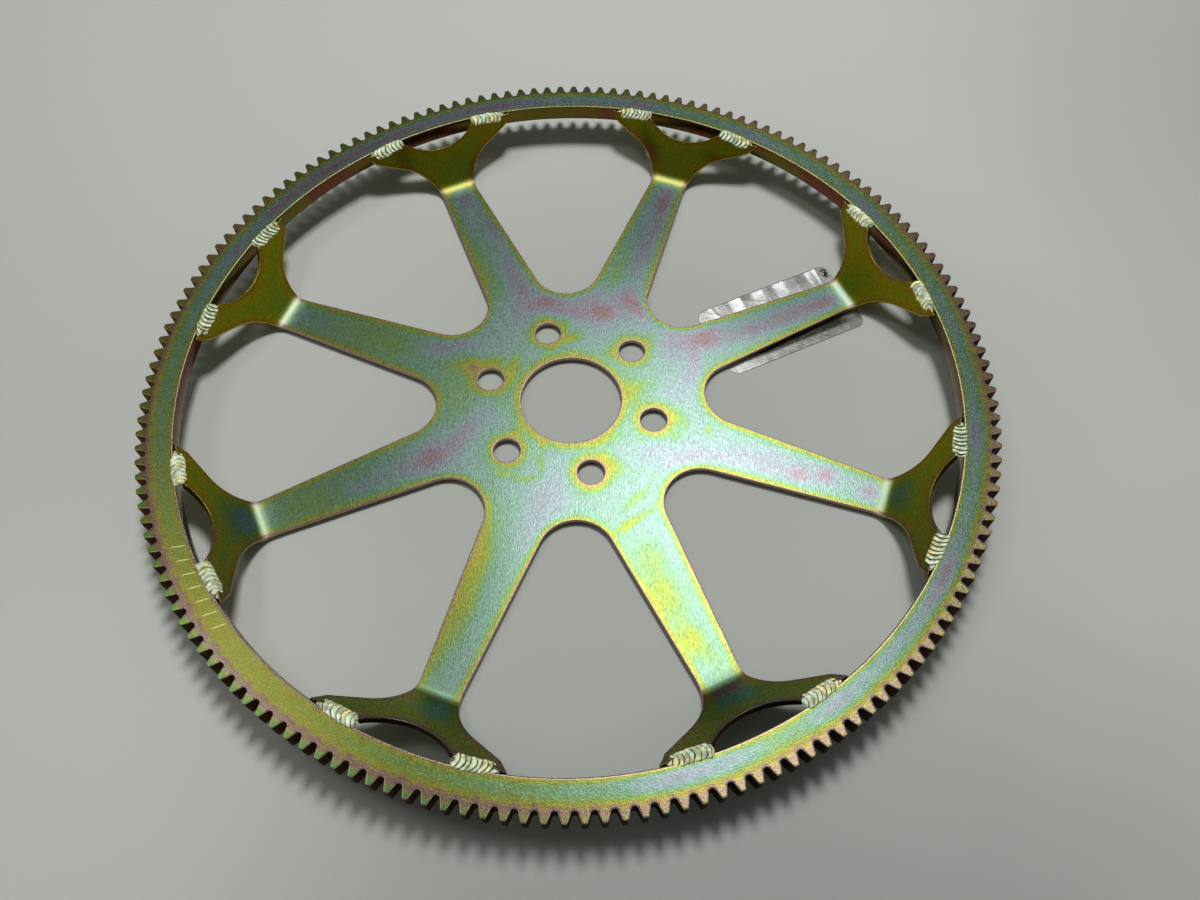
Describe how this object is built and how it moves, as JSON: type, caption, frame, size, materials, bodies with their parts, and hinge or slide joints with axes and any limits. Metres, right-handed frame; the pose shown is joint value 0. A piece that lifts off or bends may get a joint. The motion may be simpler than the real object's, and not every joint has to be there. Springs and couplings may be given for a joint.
{
  "type": "flexplate",
  "caption": "Dished steel flexplate: a spoked spider plate with forked feet, welded inside a toothed starter ring, with a pilot bore and a circle of bolt holes.",
  "frame": {"origin": "on the crankshaft axis, at the level of the surface that the flexplate lies on, which is also the underside of the foil label caught under one spoke", "axes": "+Z is the crankshaft axis, pointing up out of the dish towards the starter ring; +X runs through the middle of a window, with the first spoke at 22.5 degrees"},
  "size_m": [0.3608, 0.3608, 0.0222],
  "materials": {
    "plated_plate": "yellow zinc plated, iridescent",
    "plated_ring": "yellow zinc plated, iridescent",
    "plated_weld": "bright plated weld",
    "silver_foil": "crumpled silver foil"
  },
  "bodies": {
    "root": {"spider_plate": "plated_plate", "ring_gear": "plated_ring", "weld_bead_01": "plated_weld", "weld_bead_02": "plated_weld", "weld_bead_03": "plated_weld", "weld_bead_04": "plated_weld", "weld_bead_05": "plated_weld", "weld_bead_06": "plated_weld", "weld_bead_07": "plated_weld", "weld_bead_08": "plated_weld", "weld_bead_09": "plated_weld", "weld_bead_10": "plated_weld", "weld_bead_11": "plated_weld", "weld_bead_12": "plated_weld", "weld_bead_13": "plated_weld", "weld_bead_14": "plated_weld", "weld_bead_15": "plated_weld", "weld_bead_16": "plated_weld", "foil_label": "silver_foil"}
  },
  "joints": []
}
